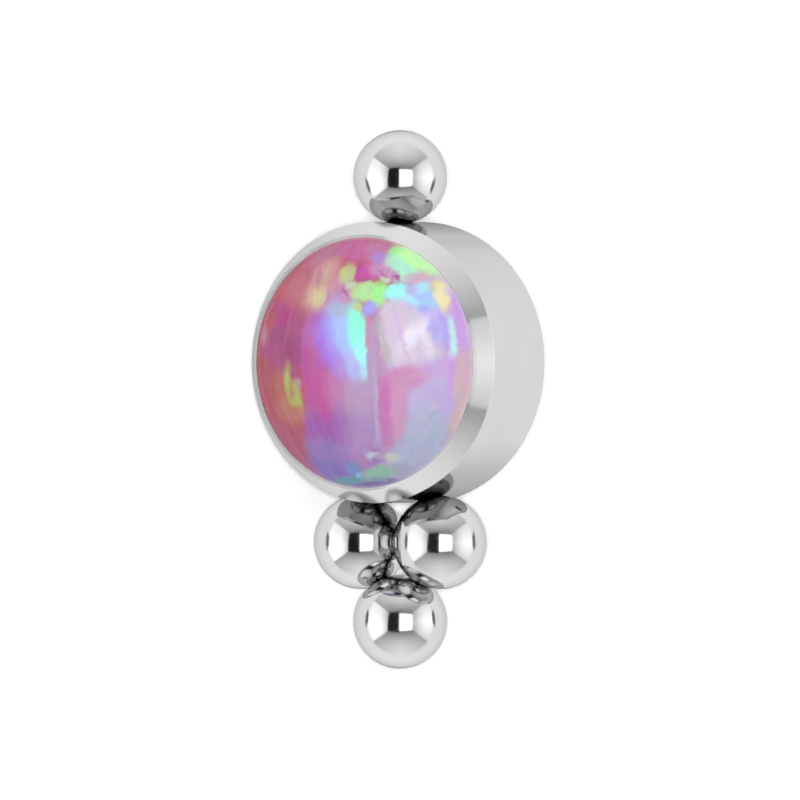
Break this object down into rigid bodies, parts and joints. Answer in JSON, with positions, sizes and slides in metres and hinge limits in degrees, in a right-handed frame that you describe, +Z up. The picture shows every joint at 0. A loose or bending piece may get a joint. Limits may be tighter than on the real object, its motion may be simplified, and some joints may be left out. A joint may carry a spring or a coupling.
{
  "type": "threaded piercing top",
  "caption": "Threaded piercing top: a domed pink opal in a polished round bezel with ball beads soldered round its rim and a short threaded post behind.",
  "frame": {"origin": "middle of the footprint box, on the surface that the piercing top lies on", "axes": "+Z up from that surface, -Y towards the side that the stone leans to, X along the lying row of beads, with the single bead at -X"},
  "size_m": [0.008, 0.0048, 0.0045],
  "materials": {
    "polished_metal": "polished",
    "pink_opal": "gloss",
    "post_metal": "polished"
  },
  "bodies": {
    "root": {"bead_setting": "polished_metal", "opal_cabochon": "pink_opal", "threaded_post": "post_metal"}
  },
  "joints": []
}
